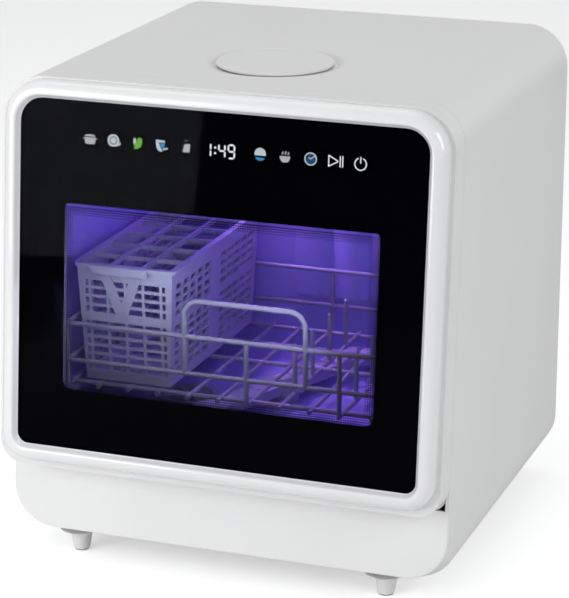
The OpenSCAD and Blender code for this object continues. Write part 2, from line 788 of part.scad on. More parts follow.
module drain_impeller() color("ivory") {
    rod_y(drain_x, drain_z, drain_y + 5, drain_y + dvol_t + 16, shaft_r);
    blades(drain_x, drain_z, drain_y + 5, drain_y + dvol_t - 4, dvol_r - 5, 4);
}

// from the drain pump up and back to the outlet behind the cover
module drain_hose() color("gray") difference() {
    union() {
        rod_z(drain_x, drain_y + dvol_t / 2, hose_z - 13, hose_z, 7);
        translate([drain_x, drain_y + dvol_t / 2, hose_z]) sphere(r = 7);
        rod_y(drain_x, hose_z, drain_y + dvol_t / 2, cover_y - 8, 7);
        rod_y(drain_x, hose_z, cover_y - 8 - e, spigot_y - 1, drain_r - 2);
        rod_y(drain_x, hose_z, cover_y + cover_t, spigot_y, drain_r);
        rod_y(drain_x, hose_z, cover_y - 4, cover_y, drain_r + 5);
    }
    rod_z(drain_x, drain_y + dvol_t / 2, hose_z - 14, hose_z + 3, 4.8);
    rod_y(drain_x, hose_z, drain_y + dvol_t / 2 - 3, spigot_y + 1, 5);
}

module inlet_valve() color("white") difference() {
    union() {
        block([inlet_x - 16, cover_y - 44, hose_z - 16], [inlet_x + 16, cover_y - 6, hose_z + 16]);
        rod_y(inlet_x, hose_z, cover_y - 6 - e, spigot_y - 1, inlet_r - 2);
        rod_y(inlet_x, hose_z, cover_y + cover_t, spigot_y, inlet_r);
        rod_y(inlet_x, hose_z, cover_y - 6 - e, cover_y, inlet_r + 4);
        rod_z(inlet_x, cover_y - 25, hose_z + 16 - e, hose_z + 30, 11);
    }
    rod_y(inlet_x, hose_z, cover_y - 20, spigot_y + 1, inlet_r - 5);
}

// a flow-through heater between the pump and the spray hub
module heater() color("silver") difference() {
    union() {
        rod_z(hub_x, hub_y, heat_z0, heat_z1, 13);
        for (z = [heat_z0 + 4:6.5:heat_z1 - 3]) translate([hub_x, hub_y, z]) rotate_extrude()
            translate([14.5, 0]) circle(r = 2.8, $fn = 24);
    }
    rod_z(hub_x, hub_y, heat_z0 - 1, heat_z1 + 1, 6);
}

// ---------- air and electrics ----------

module air_duct() color("lightgray") difference() {
    union() {
        rod_y(fan_x, fan_z, tub_back, tub_back + 10, 24);
        block([fan_x - fan_box / 2, tub_back + 10 - e, fan_z - fan_box / 2],
            [fan_x + fan_box / 2, tub_back + 13, fan_z + fan_box / 2]);
    }
    rod_y(fan_x, fan_z, tub_back - 1, tub_back + 14, 20);
}

module fan_housing() color("dimgray") difference() {
    union() {
        difference() {
            block([fan_x - fan_box / 2, fan_y0, fan_z - fan_box / 2],
                [fan_x + fan_box / 2, fan_y0 + fan_t, fan_z + fan_box / 2]);
            rod_y(fan_x, fan_z, fan_y0 - 1, fan_y0 + fan_t + 1, fan_r + 1.5);
        }
        // the motor's boss and its struts at the front
        rod_y(fan_x, fan_z, fan_y0, fan_y0 + 5, 12);
        block([fan_x - fan_r - 2.5, fan_y0, fan_z - 1.5], [fan_x + fan_r + 2.5, fan_y0 + 3, fan_z + 1.5]);
        block([fan_x - 1.5, fan_y0, fan_z - fan_r - 2.5], [fan_x + 1.5, fan_y0 + 3, fan_z + fan_r + 2.5]);
    }
    rod_y(fan_x, fan_z, fan_y0 + 1, fan_y0 + 6, shaft_r + run_gap);
}

module fan_rotor() color("black") {
    rod_y(fan_x, fan_z, fan_y0 + 2, fan_y0 + 8, shaft_r);
    rod_y(fan_x, fan_z, fan_y0 + 6, fan_y0 + fan_t - 1, 11);
    for (k = [0:6]) translate([fan_x, fan_y0 + 12, fan_z]) rotate([90, 360 / 7 * k, 0]) rotate([35, 0, 0])
        translate([9, -5, -0.8]) cube([fan_r - 10, 10, 1.6]);
}

module power_board() color("seagreen") {
    block([board_x0, cover_y - 24, board_z0], [board_x1, cover_y - 22, board_z1]);
    // pillars that stand on the rear cover
    for (x = [board_x0 + 6, board_x1 - 6], z = [board_z0 + 6, board_z1 - 6])
        rod_y(x, z, cover_y - 22 - e, cover_y, 3.5);
    block([board_x0 + 12, cover_y - 44, board_z0 + 14], [board_x0 + 40, cover_y - 24 + e, board_z0 + 40]);
    block([board_x0 + 52, cover_y - 40, board_z0 + 14], [board_x0 + 66, cover_y - 24 + e, board_z0 + 34]);
    block([board_x0 + 72, cover_y - 40, board_z0 + 14], [board_x0 + 86, cover_y - 24 + e, board_z0 + 34]);
    for (z = [board_z0 + 52, board_z0 + 76]) rod_y(board_x0 + 24, z, cover_y - 46, cover_y - 24 + e, 7);
    block([board_x0 + 46, cover_y - 34, board_z0 + 50], [board_x0 + 84, cover_y - 24 + e, board_z0 + 90]);
}

module power_gland() color("dimgray") difference() {
    union() {
        rod_y(gland_x, hose_z, cover_y - 10, cover_y + cover_t, 8);
        rod_y(gland_x, hose_z, cover_y + cover_t, cover_y + cover_t + 4, 11);
        rod_y(gland_x, hose_z, cover_y - 6, cover_y, 11);
        translate([gland_x, cover_y + cover_t + 4 - e, hose_z]) rotate([-90, 0, 0])
            cylinder(h = 9, r1 = 8, r2 = 6);
    }
    rod_y(gland_x, hose_z, cover_y - 11, rear_y + 20, 3.6);
}

// ---------- rack and basket ----------

module wire_x(y, z, x0, x1) rod_x(y, z, x0, x1, rack_r);
module wire_y(x, z, y0, y1) rod_y(x, z, y0, y1, rack_r);
module wire_z(x, y, z0, z1) rod_z(x, y, z0, z1, rack_r);
module ball(x, y, z) translate([x, y, z]) sphere(r = rack_r);

// a quarter bend of wire in the plane of the hoop
module hoop_bend(x, a) translate([x, rack_y0, hoop_z - hoop_r]) rotate([90, 0, 0]) rotate([0, 0, a])
    rotate_extrude(angle = 90) translate([hoop_r, 0]) circle(r = rack_r + 0.2, $fn = 24);

// an end of the rack: two level wires, and uprights whose feet turn back onto the floor
module rack_end(y) {
    for (z = [rim_z, mid_z]) wire_x(y, z, -rack_x, rack_x);
    for (x = [-rack_x, post_x, post_x + 3 * bar_pitch, rack_x]) {
        wire_z(x, y, rack_z, rim_z);
        ball(x, y, rack_z);
    }
    for (x = [-rack_x, rack_x]) ball(x, y, rim_z);
}

module rack_hoop() {
    hoop_bend(hoop_x0 + hoop_r, 90);
    hoop_bend(hoop_x1 - hoop_r, 0);
    rod_x(rack_y0, hoop_z, hoop_x0 + hoop_r, hoop_x1 - hoop_r, rack_r + 0.2);
    for (x = [hoop_x0, hoop_x1]) {
        rod_z(x, rack_y0, mid_z, hoop_z - hoop_r, rack_r + 0.2);
        translate([x, rack_y0, mid_z]) sphere(r = rack_r + 0.2);
    }
}

module wire_rack() color("lightgray") {
    in_y0 = rack_y0 + rack_r + seam_gap;
    in_y1 = rack_y1 - rack_r - seam_gap;
    in_x = rack_x - rack_r - seam_gap;
    rack_end(rack_y0);
    rack_hoop();
    rack_end(rack_y1);
    // sides
    for (x = [-rack_x, rack_x]) {
        for (z = [rack_z, mid_z, rim_z]) wire_y(x, z, in_y0, in_y1);
        for (k = [1, 2]) wire_z(x, rack_y0 + rack_d / 3 * k, rack_z, rim_z);
    }
    // floor
    for (x = [post_x - 5 * bar_pitch:bar_pitch:rack_x - 10]) wire_y(x, rack_z, in_y0, in_y1);
    for (k = [0:4]) wire_x(rack_y0 + cross_in + (rack_d - 2 * cross_in) / 4 * k, rack_z, -in_x, in_x);
    // rows of plate tines
    for (x = [post_x + bar_pitch:2 * bar_pitch:rack_x - 10], k = [1:4]) {
        wire_z(x, rack_y0 + rack_d / 5 * k, rack_z + rack_r + seam_gap, rack_z + tine_h);
        ball(x, rack_y0 + rack_d / 5 * k, rack_z + tine_h);
    }
}

// level rows of cells in a wall of the basket, each cell running from x0 to x1
module cell_rows(x0, x1) {
    for (j = [0:5]) translate([x0, basket_foot + j * basket_row]) square([x1 - x0, basket_row - basket_bar]);
    for (j = [0:3]) translate([x0, basket_foot + 6 * basket_row + basket_band + j * basket_row - basket_bar])
        square([x1 - x0, basket_row - basket_bar]);
}

// an end wall, drawn flat: the uprights stand at even steps from its middle
module end_wall() linear_extrude(basket_t) difference() {
    polygon([[-end_w0, 0], [end_w0, 0], [end_w0 + basket_in, basket_h], [-end_w0 - basket_in, basket_h]]);
    for (k = [-2:1]) cell_rows(k * basket_pitch + basket_bar / 2, (k + 1) * basket_pitch - basket_bar / 2);
    for (m = [0, 1]) mirror([m, 0]) cell_rows(2 * basket_pitch + basket_bar / 2, end_w0 - 2);
}

// a long wall, drawn flat: a plain post in the middle, and five cells at each side of it
module long_wall() linear_extrude(basket_t) difference() {
    polygon([[-long_w0, 0], [long_w0, 0], [long_w1, long_low], [long_w2, long_low], [long_w2, basket_h],
        [-long_w2, basket_h], [-long_w2, long_low], [-long_w1, long_low]]);
    for (m = [0, 1], k = [0:4]) mirror([m, 0]) cell_rows(basket_post / 2 + k * basket_pitch,
        basket_post / 2 + (k + 1) * basket_pitch - basket_bar);
}

// the rolled rim between two planes across the basket
module rim_part(y0, y1) difference() {
    intersection() {
        along_z(basket_z1 - 3.5, basket_z1) round_rect(basket_x0 - basket_rim, basket_x1 + basket_rim,
            basket_y0 - basket_rim, basket_y1 + basket_rim, 7, 7);
        block([-body_w, y0, 0], [body_w, y1, top_z]);
    }
    along_z(basket_z1 - 5, basket_z1 + 1)
        round_rect(basket_x0 + basket_rim, basket_x1 - basket_rim, basket_y0 + basket_rim,
            basket_y1 - basket_rim, 2, 2);
}

module cutlery_basket() color("slategray") {
    cx = basket_mid;
    cy = (basket_y0 + basket_y1) / 2;
    for (m = [0, 180]) translate([cx, cy, basket_z0]) rotate([0, 0, m]) {
        translate([0, -basket_l / 2 + basket_in + basket_t, 0]) rotate([90 + basket_tilt, 0, 0]) end_wall();
        rotate([0, 0, 90]) translate([0, -basket_w / 2 + basket_in + basket_t, 0])
            rotate([90 + basket_tilt, 0, 0]) long_wall();
    }
    rim_part(basket_y0 - 2 * basket_rim, basket_y0 + basket_rim);
    rim_part(basket_y0 + lattice_in, basket_y1 - lattice_in);
    rim_part(basket_y1 - basket_rim, basket_y1 + 2 * basket_rim);
    // floor with rows of slots
    difference() {
        block([cx - end_w0 + basket_t + seam_gap, cy - long_w0 + seam_gap, basket_z0],
            [cx + end_w0 - basket_t - seam_gap, cy + long_w0 - seam_gap, basket_z0 + basket_t]);
        for (x = [cx - 24:16:cx + 24], y = [cy - long_w0 + 10:20:cy + long_w0 - 20])
            block([x - 5, y, basket_z0 - 1], [x + 5, y + 14, basket_z0 + basket_t + 1]);
    }
    // lip of the rim, and a V-shaped grip under it
    block([cx + grip_x - 28, basket_y0 - 5.5, basket_z1 - 8],
        [cx + grip_x + 28, basket_y0 + 1, basket_z1 - 0.5]);
    for (m = [-1, 1]) translate([cx + grip_x, basket_y0 + basket_in * (1 - grip_up / basket_h),
        basket_z0 + grip_up]) rotate([basket_tilt, 0, 0]) rotate([0, m * 21, 0]) translate([-5, -0.8, 0])
        cube([10, 2, grip_l]);
    // lattice that keeps the cutlery apart
    for (m = [-1, 1]) block([cx + m * lattice_x - 1.3, basket_y0 + lattice_in, basket_z1 - 5],
        [cx + m * lattice_x + 1.3, basket_y1 - lattice_in, basket_z1 - 1]);
    for (k = [1:5], i = [0:2]) block([lattice_at[2 * i], basket_y0 + basket_l / 6 * k - 1.3, basket_z1 - 5],
        [lattice_at[2 * i + 1], basket_y0 + basket_l / 6 * k + 1.3, basket_z1 - 1]);
}

// ---------- latch ----------

module latch_tongue() color("gray") on_front() {
    along_z(tongue_h0, liner_h0) translate([-4, latch_s - 2.2]) square([8, 4.4]);
    along_z(liner_h0 + liner_t, liner_h0 + liner_t + 3) translate([-9, latch_s - 8]) square([18, 14]);
    along_z(liner_h0 - e, liner_h0 + liner_t + e) translate([-4, latch_s - 2.2]) square([8, 4.4]);
}

// the box behind the frame that the tongue enters, and a sprung lever beside it
module latch_housing() color("dimgray") on_front() difference() {
    along_z(-27, frame_h0 - frame_t) translate([-24, latch_s - latch_w]) square([48, 2 * latch_w]);
    along_z(-25, 0) translate([-22, latch_s - latch_w + 1.8]) square([44, 2 * latch_w - 3.6]);
    rod_y(lever_x, lever_h, latch_s - latch_w - 1, latch_s + latch_w + 1, latch_pin + run_gap);
}

module latch_lever() color("silver") on_front() {
    along_z(lever_h - 1.5, lever_h + 11) translate([lever_x - 1.5, latch_s - 3]) square([3, 6]);
    along_z(lever_h - 1.5, lever_h + 1.5) translate([lever_x, latch_s - 3]) square([11, 6]);
    rod_y(lever_x, lever_h, latch_s - latch_w, latch_s + latch_w, latch_pin);
}

// ---------- hinges ----------

module hinge_brackets() color("silver") for (m = [-1, 1]) {
    x0 = m > 0 ? ear_x : -ear_x - ear_t;
    difference() {
        union() {
            rod_x(hinge_y, hinge_z, x0, x0 + ear_t, ear_r);
            block([x0, hinge_y, hinge_z - 0.5], [x0 + ear_t, hinge_y + 58, hinge_z + 8]);
            block([x0, hinge_y + 46, tray_z0 + tray_t], [x0 + ear_t, hinge_y + 58, hinge_z]);
        }
        rod_x(hinge_y, hinge_z, x0 - 1, x0 + ear_t + 1, pin_r + run_gap);
    }
    block([min(x0, x0 + m * -14), hinge_y + 46, tray_z0 + tray_t],
        [max(x0, x0 + m * -14) + ear_t, hinge_y + 58, tray_z0 + tray_t + 3]);
}

module hinge_arms() color("silver") for (m = [-1, 1]) {
    x0 = m > 0 ? arm_x : -arm_x - ear_t;
    on_front() difference() {
        union() {
            rod_x(door_low, 0, x0, x0 + ear_t, ear_r);
            block([x0, door_low, -3], [x0 + ear_t, door_low + 9, 12]);
            block([x0, door_low + 5, liner_h0 + liner_t], [x0 + ear_t, door_low + 58, 15]);
        }
        rod_x(door_low, 0, x0 - 1, x0 + ear_t + 1, pin_r);
    }
}

module hinge_pins() color("silver") for (m = [-1, 1]) {
    x0 = m > 0 ? ear_x - 0.5 : -ear_x - ear_t - 1 - ear_t;
    on_front() rod_x(door_low, 0, x0, x0 + pin_len + 0.5, pin_r);
}

// ---------- door ----------

// where the door must leave room for the hinge ears
module ear_room() for (m = [-1, 1]) along_z(-body_d, 13)
    translate([m * ear_mid, door_low]) square([ear_span, 20], center = true);

module door_band() color("white") difference() {
    intersection() {
        along_y(seam_y - 3 * band_t, seam_y + body_d / 2) outline(0, 0);
        on_front() along_z(0, band_t) round_rect(-half_w, half_w, door_low, 2 * body_h, 22, 22);
    }
    on_front() {
        along_z(-1, band_t - 3) round_rect(-half_w + band_wall, half_w - band_wall, door_low + band_wall,
            door_high - band_wall, 22 - band_wall, in_r);
        along_z(-1, band_t + 1) round_rect(-glass_x - 3, glass_x + 3, glass_low - 3, glass_high + 3,
            glass_r_low, glass_r_top);
        ear_room();
    }
}

// the bezel's cross-section: x outward from the glass edge, y outward from the seam
module bezel_profile() difference() {
    polygon(concat([[0, glass_h1], [0.8, glass_h1 + 1], [3, bezel_h - 1], [4, bezel_h - 0.2], [5.2, bezel_h]],
        [for (a = [90:-6:0]) [bezel_w - bezel_round * (1 - cos(a)), bezel_h - bezel_round * (1 - sin(a))]],
        [[bezel_w, band_t], [2.4, band_t], [2.4, glass_h1]]));
}

// one straight side and the corner at its end
module bezel_run(x, y, a, len, r) translate([x, y, 0]) rotate([0, 0, a]) {
    rotate([90, 0, 0]) linear_extrude(len) translate([r, 0]) bezel_profile();
    rotate_extrude(angle = 90) translate([r, 0]) bezel_profile();
}

module door_bezel() color("white") on_front() {
    tall = glass_high - glass_low - glass_r_top - glass_r_low;
    bezel_run(glass_x - glass_r_top, glass_high - glass_r_top, 0, tall, glass_r_top);
    bezel_run(-glass_x + glass_r_top, glass_high - glass_r_top, 90, 2 * (glass_x - glass_r_top), glass_r_top);
    bezel_run(-glass_x + glass_r_low, glass_low + glass_r_low, 180, tall, glass_r_low);
    bezel_run(glass_x - glass_r_low, glass_low + glass_r_low, 270, 2 * (glass_x - glass_r_low), glass_r_low);
}

module glass_outline(grow) round_rect(-glass_x - grow, glass_x + grow, glass_low - grow, glass_high + grow,
    glass_r_low + grow, glass_r_top + grow);

module door_glass() color("lightgray", 0.4) on_front() along_z(glass_h0, glass_h1) glass_outline(2);

module print_mask() color("black") on_front() along_z(glass_h0 - mask_t, glass_h0) difference() {
    glass_outline(2);
    round_rect(-win_x, win_x, win_low, win_high, 8, 4);
    // the clear digits' window
    translate([clock_x0 + 2, symbol_s - clock_h / 2 + 2]) square([clock_w - 4, clock_h - 4]);
}

module door_liner() color("whitesmoke") on_front() difference() {
    union() {
        along_z(liner_h0, liner_h0 + liner_t) round_rect(-half_w + band_wall + gap, half_w - band_wall - gap,
            door_low + band_wall + gap, door_high - band_wall - gap, 22 - band_wall, in_r - 1);
        along_z(-boss_in, liner_h0 + e) round_rect(-hole_x - boss_w, hole_x + boss_w, hole_low - boss_w,
            hole_high + boss_w, 10, 10);
    }
    along_z(-boss_in - 1, liner_h0 + liner_t + 1) round_rect(-hole_x, hole_x, hole_low, hole_high, 6, 6);
    along_z(-1, liner_h0 + liner_t + 1)
        round_rect(-hole_x - 4, hole_x + 4, hole_low - 4, hole_high + 4, 8, 8);
    // seats of the detergent cup, the latch tongue and the hinge ears
    along_z(-1, liner_h0 + liner_t + 1) translate([cup_x0, cup_s0]) square([cup_w, cup_s1 - cup_s0]);
    along_z(-1, liner_h0 + liner_t + 1) translate([-4 - gap, latch_s - 2.2 - gap])
        square([8 + 2 * gap, 4.4 + 2 * gap]);
    ear_room();
}

module inner_pane() color("lightgray", 0.3) on_front() along_z(-1 + gap, -1 + gap + pane_t)
    round_rect(-hole_x - 4 + gap, hole_x + 4 - gap, hole_low - 4 + gap, hole_high + 4 - gap, 8, 8);

module window_shroud() color("dimgray") on_front()
    ring_plate(liner_h0 + liner_t, glass_h0 - mask_t - gap, hole_x + 7, hole_low - 7, hole_high + 7,
        10, 10, 2);

module touch_board() color("seagreen") on_front() {
    along_z(glass_h0 - mask_t - 4.6, glass_h0 - mask_t - 3)
        translate([-keys_x, symbol_s - keys_h / 2]) square([2 * keys_x, keys_h]);
    // a light guide behind each touch symbol
    for (i = [-6:6]) if (abs(i) > 1) along_z(glass_h0 - mask_t - 3 - e, glass_h0 - mask_t - gap)
        translate([i * symbol_pitch - symbol_w / 2 + 2, symbol_s - 6]) square([symbol_w - 4, 12]);
    // pillars that stand on the liner
    for (x = [8 - keys_x, keys_x - 8]) translate([x, symbol_s, liner_h0 + liner_t])
        cylinder(h = glass_h0 - mask_t - 4.6 - liner_h0 - liner_t + e, r = 3);
}

module clock_display() color("dimgray") on_front()
    along_z(glass_h0 - mask_t - 3, glass_h0 - mask_t - gap)
        translate([clock_x0, symbol_s - clock_h / 2]) square([clock_w, clock_h]);

module detergent_cup() color("whitesmoke") on_front() difference() {
    union() {
        along_z(liner_h0 - 1.5, liner_h0) translate([cup_x0 - 4, cup_s0 - 4])
            square([cup_w + 8, cup_s1 - cup_s0 + 8]);
        along_z(liner_h0 - e, cup_deep) translate([cup_x0 + gap, cup_s0 + gap])
            square([cup_w - 2 * gap, cup_s1 - cup_s0 - 2 * gap]);
    }
    along_z(liner_h0 - 2, cup_deep - 2) translate([cup_x0 + 2, cup_s0 + 2])
        square([cup_w - 4, cup_s1 - cup_s0 - 4]);
}

module detergent_lid() color("lightgray") on_front() {
    along_z(liner_h0 - 4.2, liner_h0 - 1.8) translate([cup_x0 - 2, cup_s0 - 2])
        square([cup_w + 4, cup_s1 - cup_s0 + 4]);
    // finger rib
    along_z(liner_h0 - 6.6, liner_h0 - 4.2 + e) translate([cup_x0 + cup_w - 8, cup_s0 + 4])
        square([3, cup_s1 - cup_s0 - 8]);
}

outer_casing();
rear_cover();
base_tray();
plinth_panel();
front_frame();
tub();
flute_panel();
door_seal();
feet();
foot_pads();
fill_funnel();
fill_duct();
fill_lid();
lid_seal();
water_tank();
tank_hose();
sump();
filter_cup();
spray_hub();
spray_arm();
suction_hose();
wash_pump();
wash_impeller();
wash_motor();
drain_pump();
drain_impeller();
drain_hose();
inlet_valve();
heater();
air_duct();
fan_housing();
fan_rotor();
float_guide();
float_switch();
power_board();
power_gland();
lamp_strip();
rack_rails();
wire_rack();
cutlery_basket();
latch_housing();
latch_lever();
hinge_brackets();
hinge_arms();
hinge_pins();
door_band();
door_bezel();
door_glass();
print_mask();
door_liner();
inner_pane();
window_shroud();
touch_board();
clock_display();
detergent_cup();
detergent_lid();
latch_tongue();
cover_screws();
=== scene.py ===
import bpy
import bmesh
import json
import math
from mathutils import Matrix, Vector


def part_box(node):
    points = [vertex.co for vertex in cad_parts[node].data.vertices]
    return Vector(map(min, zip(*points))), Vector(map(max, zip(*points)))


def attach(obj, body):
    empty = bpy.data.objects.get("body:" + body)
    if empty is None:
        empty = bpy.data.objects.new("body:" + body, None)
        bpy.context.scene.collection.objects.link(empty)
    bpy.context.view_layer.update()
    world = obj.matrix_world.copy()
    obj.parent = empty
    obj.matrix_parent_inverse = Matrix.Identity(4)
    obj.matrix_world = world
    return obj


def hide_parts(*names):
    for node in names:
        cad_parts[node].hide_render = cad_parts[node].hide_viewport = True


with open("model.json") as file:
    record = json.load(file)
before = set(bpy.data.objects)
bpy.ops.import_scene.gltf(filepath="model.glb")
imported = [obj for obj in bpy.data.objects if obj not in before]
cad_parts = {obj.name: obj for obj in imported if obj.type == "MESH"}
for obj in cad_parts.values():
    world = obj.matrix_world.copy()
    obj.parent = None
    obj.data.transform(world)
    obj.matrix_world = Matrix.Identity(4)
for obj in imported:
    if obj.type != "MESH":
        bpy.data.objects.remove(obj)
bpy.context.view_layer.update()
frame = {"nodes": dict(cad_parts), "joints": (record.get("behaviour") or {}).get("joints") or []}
NODES = frame["nodes"]
JOINTS = {j["name"]: j for j in frame["joints"]}

# ---------- the leaning front: x across, s up along the lean, h outward ----------

HINGE = JOINTS["door_hinge"]
LEAN = math.radians(HINGE["range_deg"][1] - 90.0)
SIN, COS = math.sin(LEAN), math.cos(LEAN)
# height of the feet, and the place of the seam between the door and the cabinet
FOOT = 0.022
SEAM = HINGE["pos_m"][1] - (HINGE["pos_m"][2] - FOOT) * SIN / COS


def front(x, s, h):
    """A point of the leaning front, given in millimetres."""
    x, s, h = x / 1000, s / 1000, h / 1000
    return Vector((x, SEAM - h * COS + s * SIN, FOOT + h * SIN + s * COS))


# ---------- materials ----------

IOR = 1.5
COAT_ROUGH = 0.08
GRAIN_LIFT = 0.0002
# where the noise starts and stops moving the colour and the roughness
NOISE_LOW, NOISE_HIGH = 0.3, 0.7
# a noise finer than this is the grain, which brushed metal draws out into lines
FINEST_BLOTCH = 100
BRUSH_SCALE = 60


def make_material(name, color, rough, metal=0.0, var=0.03, rough_var=0.05, grain=1400.0, bump=0.03,
                  blotch=9.0, spec=0.5, alpha=1.0, emit=None, power=0.0, coat=0.0):
    """A moulded or printed surface: colour and roughness wander slowly, and a fine grain lifts it."""
    m = bpy.data.materials.new(name)
    m.use_nodes = True
    t = m.node_tree
    b = t.nodes["Principled BSDF"]
    b.inputs["Metallic"].default_value = metal
    b.inputs["Specular IOR Level"].default_value = spec
    b.inputs["IOR"].default_value = IOR
    b.inputs["Alpha"].default_value = alpha
    b.inputs["Coat Weight"].default_value = coat
    b.inputs["Coat Roughness"].default_value = COAT_ROUGH
    place = t.nodes.new("ShaderNodeTexCoord")
    slow = t.nodes.new("ShaderNodeTexNoise")
    slow.inputs["Scale"].default_value = blotch
    slow.inputs["Detail"].default_value = 3.0
    t.links.new(place.outputs["Object"], slow.inputs["Vector"])
    ramp = t.nodes.new("ShaderNodeValToRGB")
    lo, hi = max(0.0, 1 - var), 1 + var
    ramp.color_ramp.elements[0].position = NOISE_LOW
    ramp.color_ramp.elements[1].position = NOISE_HIGH
    ramp.color_ramp.elements[0].color = [min(1, c * lo) for c in color] + [1]
    ramp.color_ramp.elements[1].color = [min(1, c * hi) for c in color] + [1]
    t.links.new(slow.outputs["Fac"], ramp.inputs["Fac"])
    t.links.new(ramp.outputs["Color"], b.inputs["Base Color"])
    fine = t.nodes.new("ShaderNodeTexNoise")
    fine.inputs["Scale"].default_value = grain
    fine.inputs["Detail"].default_value = 2.0
    t.links.new(place.outputs["Object"], fine.inputs["Vector"])
    spread = t.nodes.new("ShaderNodeMapRange")
    spread.inputs["From Min"].default_value = NOISE_LOW
    spread.inputs["From Max"].default_value = NOISE_HIGH
    spread.inputs["To Min"].default_value = max(0.01, rough - rough_var)
    spread.inputs["To Max"].default_value = min(1.0, rough + rough_var)
    t.links.new(slow.outputs["Fac"], spread.inputs["Value"])
    t.links.new(spread.outputs["Result"], b.inputs["Roughness"])
    if bump:
        lift = t.nodes.new("ShaderNodeBump")
        lift.inputs["Strength"].default_value = bump
        lift.inputs["Distance"].default_value = GRAIN_LIFT
        t.links.new(fine.outputs["Fac"], lift.inputs["Height"])
        t.links.new(lift.outputs["Normal"], b.inputs["Normal"])
    if emit:
        b.inputs["Emission Color"].default_value = list(emit) + [1]
        b.inputs["Emission Strength"].default_value = power
    return m


def brushed(name, color, rough, along=(1, 1, 40)):
    """Metal with fine lines drawn along it."""
    m = make_material(name, color, rough, metal=1.0, var=0.06, rough_var=0.08, bump=0.12, spec=0.5)
    t = m.node_tree
    place = next(n for n in t.nodes if n.type == "TEX_COORD")
    scale = t.nodes.new("ShaderNodeMapping")
    scale.inputs["Scale"].default_value = along
    t.links.new(place.outputs["Object"], scale.inputs["Vector"])
    for n in t.nodes:
        if n.type == "TEX_NOISE" and n.inputs["Scale"].default_value > FINEST_BLOTCH:
            n.inputs["Scale"].default_value = BRUSH_SCALE
            t.links.new(scale.outputs["Vector"], n.inputs["Vector"])
    return m


MAT = {
    "cabinet": make_material("cabinet_white", (0.74, 0.74, 0.735), 0.42, var=0.012, rough_var=0.04,
        bump=0.05, grain=2600),
    "bezel": make_material("bezel_white", (0.78, 0.78, 0.785), 0.16, var=0.008, rough_var=0.03, bump=0.01,
        coat=0.5),
    "plinth": make_material("plinth_white", (0.80, 0.80, 0.80), 0.34, var=0.012, rough_var=0.04, bump=0.04,
        grain=2600),
    "base": make_material("base_grey", (0.36, 0.36, 0.37), 0.6, var=0.05, bump=0.12, grain=1200),
    # the tub, its rails and flute panels: a blue-grey colour, tinted violet as painted light of the violet
    # lamp
    "tub": make_material("tub_painted_violet_light", (0.38, 0.34, 0.70), 0.34, var=0.03, rough_var=0.06, bump=0.05,
        grain=900),
    "frame": make_material("frame_white", (0.70, 0.69, 0.72), 0.4, var=0.02, bump=0.05, grain=1500),
    "seal": make_material("seal_rubber", (0.20, 0.20, 0.21), 0.75, var=0.08, bump=0.2, grain=1600),
    "pad": make_material("pad_rubber", (0.36, 0.36, 0.37), 0.8, var=0.2, bump=0.25, grain=1500),
    "duct": make_material("duct_grey", (0.55, 0.55, 0.57), 0.5, var=0.04, bump=0.08),
    "tank": make_material("tank_cloudy", (0.68, 0.73, 0.78), 0.42, var=0.05, bump=0.08, alpha=0.92),
    "hose": make_material("hose_black", (0.05, 0.05, 0.052), 0.6, var=0.1, bump=0.2, grain=900),
    "pump": make_material("pump_dark", (0.045, 0.045, 0.05), 0.5, var=0.1, bump=0.12),
    "motor": make_material("motor_paint", (0.09, 0.09, 0.10), 0.38, metal=0.5, var=0.1, bump=0.08),
    "impeller": make_material("impeller_ivory", (0.72, 0.70, 0.64), 0.38, var=0.04, bump=0.05),
    "valve": make_material("valve_white", (0.74, 0.74, 0.73), 0.45, var=0.03, bump=0.06),
    "heater": brushed("heater_steel", (0.55, 0.55, 0.56), 0.34),
    "board": make_material("board_green", (0.02, 0.16, 0.06), 0.36, var=0.15, bump=0.25, grain=450),
    "display": make_material("display_dark", (0.01, 0.01, 0.012), 0.25, var=0.1, bump=0.02),
    "lamp": make_material("lamp_violet", (0.55, 0.40, 0.95), 0.3, emit=(0.36, 0.20, 1.0), power=3.0,
        bump=0.02),
    "wire": make_material("wire_grey", (0.30, 0.30, 0.34), 0.38, var=0.05, bump=0.1, grain=1100, blotch=30),
    "basket": make_material("basket_grey", (0.44, 0.45, 0.50), 0.42, var=0.05, bump=0.1, grain=1300,
        blotch=22),
    "filter": make_material("filter_grey", (0.30, 0.31, 0.40), 0.42, var=0.06, bump=0.1),
    "arm": make_material("arm_grey", (0.46, 0.45, 0.56), 0.3, var=0.04, bump=0.05),
    "steel": brushed("hinge_steel", (0.62, 0.62, 0.63), 0.3),
    "screw": brushed("screw_steel", (0.50, 0.50, 0.51), 0.28, along=(40, 1, 1)),
    "glass": make_material("door_glass", (0.0006, 0.0006, 0.0010), 0.03, var=0.1, rough_var=0.01,
        bump=0.002, blotch=4, alpha=0.36, spec=0.04),
    "pane": make_material("inner_pane", (0.002, 0.002, 0.003), 0.04, var=0.1, rough_var=0.01,
        bump=0.002, blotch=4, alpha=0.05, spec=0.1),
    "mask": make_material("mask_black", (0.0005, 0.0005, 0.0022), 0.5, var=0.15, rough_var=0.04, bump=0.004,
        spec=0.0),
    "latch": make_material("latch_grey", (0.42, 0.42, 0.45), 0.45, var=0.04, bump=0.08),
}

